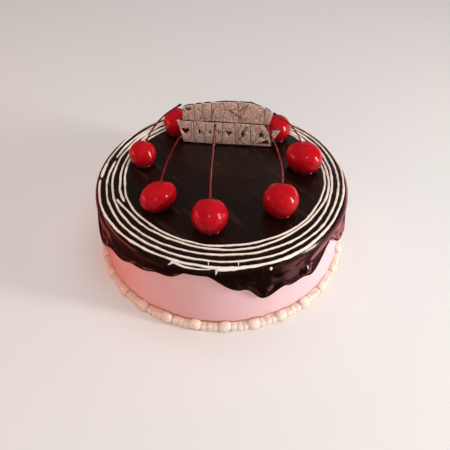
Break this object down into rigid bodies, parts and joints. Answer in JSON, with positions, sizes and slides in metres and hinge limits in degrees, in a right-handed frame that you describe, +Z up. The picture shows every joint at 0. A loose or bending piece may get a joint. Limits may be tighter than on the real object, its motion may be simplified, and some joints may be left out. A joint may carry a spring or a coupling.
{
  "type": "birthday cake",
  "caption": "Round uncut birthday cake with a dripping chocolate glaze, piped lines, stemmed cherries, a pearl border and a plain glittered topper.",
  "frame": {"origin": "centre of the round base, on the surface that the cake stands on", "axes": "+Z up, -Y towards the front, +X to the right seen from the front"},
  "size_m": [0.1748, 0.1748, 0.1056],
  "materials": {
    "cream": "smooth whipped cream, pale pink, soft sheen",
    "chocolate": "poured dark chocolate glaze, wet gloss",
    "piping": "piped ivory icing lines, satin",
    "pearls": "piped ivory cream pearls, soft",
    "cherry": "syrup-wet red cherry skin",
    "stem": "dark red cherry stem, satin",
    "glitter": "silver glitter on card"
  },
  "bodies": {
    "root": {"cake": "cream", "glaze": "chocolate", "border": "pearls", "cherry_left": "cherry", "cherry_front_left": "cherry", "cherry_front": "cherry", "cherry_front_right": "cherry", "cherry_right": "cherry", "cherry_back_right": "cherry", "cherry_back_left": "cherry", "topper": "glitter"}
  },
  "joints": []
}
